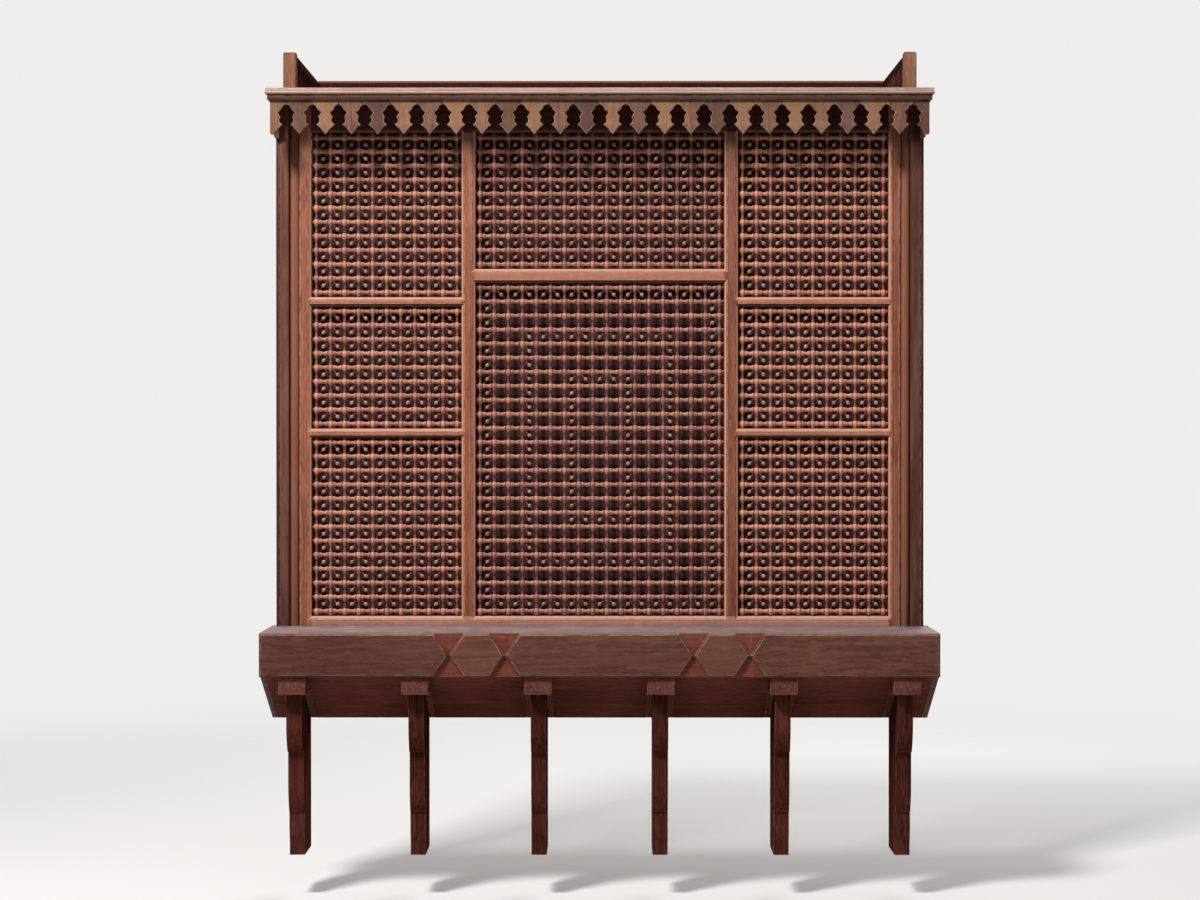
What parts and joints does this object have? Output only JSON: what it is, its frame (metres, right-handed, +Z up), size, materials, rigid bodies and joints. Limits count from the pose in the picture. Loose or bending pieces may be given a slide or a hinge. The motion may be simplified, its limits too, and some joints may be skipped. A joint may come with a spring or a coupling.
{
  "type": "mashrabiya screen",
  "caption": "Wall-hung wooden mashrabiya screen with turned lattice panels, a deep shelf on brackets, and a canopy with a cut-out valance and guard rail.",
  "frame": {"origin": "centre of the wall plate's back face, which lies on the wall under the shelf", "axes": "+Z up, +Y into the wall, +X along the wall to the right seen from the front"},
  "size_m": [3.409, 1.776, 4.124],
  "materials": {
    "frame_wood": "satin",
    "lattice_wood": "satin",
    "post_wood": "satin",
    "shelf_wood": "matte",
    "fascia_wood": "satin",
    "panel_wood": "satin",
    "bracket_wood": "satin",
    "valance_wood": "matte",
    "crown_wood": "matte"
  },
  "bodies": {
    "root": {"balusters_left": "crown_wood", "balusters_right": "crown_wood", "bottom_rail": "frame_wood", "bracket_1": "bracket_wood", "bracket_2": "bracket_wood", "bracket_3": "bracket_wood", "bracket_4": "bracket_wood", "bracket_5": "bracket_wood", "bracket_6": "bracket_wood", "canopy_board": "valance_wood", "corner_post_left": "crown_wood", "corner_post_right": "crown_wood", "cornice_moulding": "crown_wood", "crown_rail_back": "crown_wood", "crown_rail_left": "crown_wood", "crown_rail_right": "crown_wood", "crown_sill_left": "crown_wood", "crown_sill_right": "crown_wood", "fascia_backing": "panel_wood", "fascia_planks": "fascia_wood", "head_rail": "frame_wood", "joist_1": "fascia_wood", "joist_2": "fascia_wood", "joist_3": "fascia_wood", "joist_4": "fascia_wood", "joist_5": "fascia_wood", "joist_6": "fascia_wood", "lattice_centre_bottom": "lattice_wood", "lattice_centre_top": "lattice_wood", "lattice_left_bottom": "lattice_wood", "lattice_left_middle": "lattice_wood", "lattice_left_top": "lattice_wood", "lattice_right_bottom": "lattice_wood", "lattice_right_middle": "lattice_wood", "lattice_right_top": "lattice_wood", "mullion_left": "frame_wood", "mullion_right": "frame_wood", "post_left": "post_wood", "post_right": "post_wood", "rail_left_lower": "frame_wood", "rail_left_upper": "frame_wood", "rail_right_lower": "frame_wood", "rail_right_upper": "frame_wood", "shelf_board": "shelf_wood", "shelf_end_left": "fascia_wood", "shelf_end_right": "fascia_wood", "soffit_boards": "bracket_wood", "stile_left": "frame_wood", "stile_right": "frame_wood", "transom": "frame_wood", "valance_front": "valance_wood", "valance_left": "valance_wood", "valance_right": "valance_wood", "wall_plate": "bracket_wood"}
  },
  "joints": []
}
